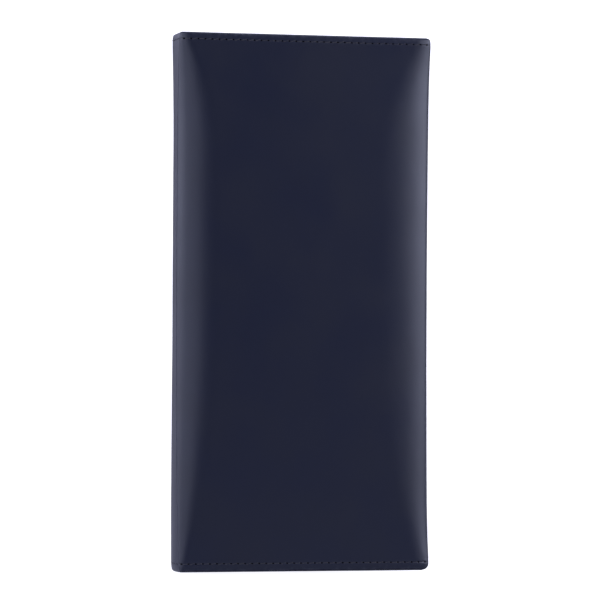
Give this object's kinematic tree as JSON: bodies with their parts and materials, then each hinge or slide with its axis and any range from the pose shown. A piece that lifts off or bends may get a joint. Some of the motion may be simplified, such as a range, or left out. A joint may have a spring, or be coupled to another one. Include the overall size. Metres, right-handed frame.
{
  "type": "travel document holder",
  "caption": "Tall leather bi-fold holder for travel documents, with a deep sleeve, a slanted pass pocket and card slots inside, opening flat like a book at a soft spine.",
  "frame": {"origin": "on the surface the closed holder lies on, under the middle of its bounding box", "axes": "+X from the spine to the opening edge, +Y to the top edge, +Z out of the front cover"},
  "size_m": [0.1112, 0.23, 0.0171],
  "materials": {
    "cover_leather": "smooth navy leather, semi-gloss, fine grain",
    "pocket_leather": "smooth navy leather, satin",
    "lining_cloth": "woven navy lining",
    "stiffener_board": "plain fibreboard, hidden",
    "sewing_thread": "twisted tone-on-tone sewing thread"
  },
  "bodies": {
    "back": {"back_cover": "cover_leather", "back_board": "stiffener_board", "back_lining": "lining_cloth", "back_sleeve": "pocket_leather", "card_slot_1": "pocket_leather", "card_slot_2": "pocket_leather", "card_slot_3": "pocket_leather", "card_slot_4": "pocket_leather", "card_slot_5": "pocket_leather", "card_slot_6": "pocket_leather", "back_top_thread": "sewing_thread", "back_bottom_thread": "sewing_thread"},
    "spine": {"spine_cover": "cover_leather", "spine_board": "stiffener_board", "spine_lining": "lining_cloth", "spine_top_thread": "sewing_thread", "spine_bottom_thread": "sewing_thread"},
    "front": {"front_cover": "cover_leather", "front_board": "stiffener_board", "front_lining": "lining_cloth", "front_sleeve": "pocket_leather", "pass_pocket": "pocket_leather", "front_top_thread": "sewing_thread", "front_bottom_thread": "sewing_thread"}
  },
  "joints": [
    {"name": "back_crease", "type": "hinge", "parent": "back", "child": "spine", "pos_m": [-0.05493, 0, 0.0015], "axis": [0, -1, 0], "range_deg": [0, 90]},
    {"name": "front_crease", "type": "hinge", "parent": "spine", "child": "front", "pos_m": [-0.05493, 0, 0.01564], "axis": [0, -1, 0], "range_deg": [0, 90]}
  ]
}
